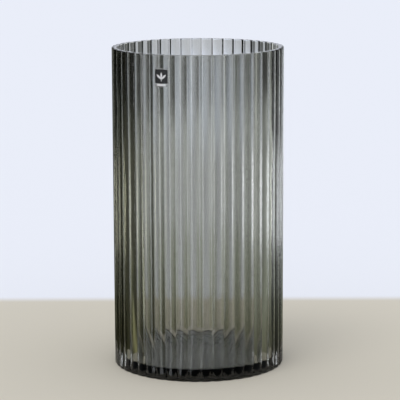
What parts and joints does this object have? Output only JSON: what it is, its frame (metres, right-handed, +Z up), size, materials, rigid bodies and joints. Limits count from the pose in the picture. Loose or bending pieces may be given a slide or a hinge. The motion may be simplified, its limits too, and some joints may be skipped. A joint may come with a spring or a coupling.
{
  "type": "glass cylinder vase",
  "caption": "Tall straight cylinder vase in smoke-tinted glass with upright rounded ribs outside, a smooth bore, a thick solid base and a small label below the rim.",
  "frame": {"origin": "centre of the resting face, on the surface that the vase stands on", "axes": "+Z up along the axis of the vase; the labelled side faces -Y, with the label a little towards -X"},
  "size_m": [0.1599, 0.1599, 0.3],
  "materials": {
    "smoke_glass": "clear polished, grey smoke tint through the whole thickness",
    "clear_film": "clear self-adhesive film, glossy",
    "black_print": "black print, satin",
    "pale_print": "pale grey print, satin"
  },
  "bodies": {
    "root": {"glass_vessel": "smoke_glass", "label_film": "clear_film", "label_panel": "black_print", "label_motif": "pale_print", "label_bar": "pale_print"}
  },
  "joints": []
}
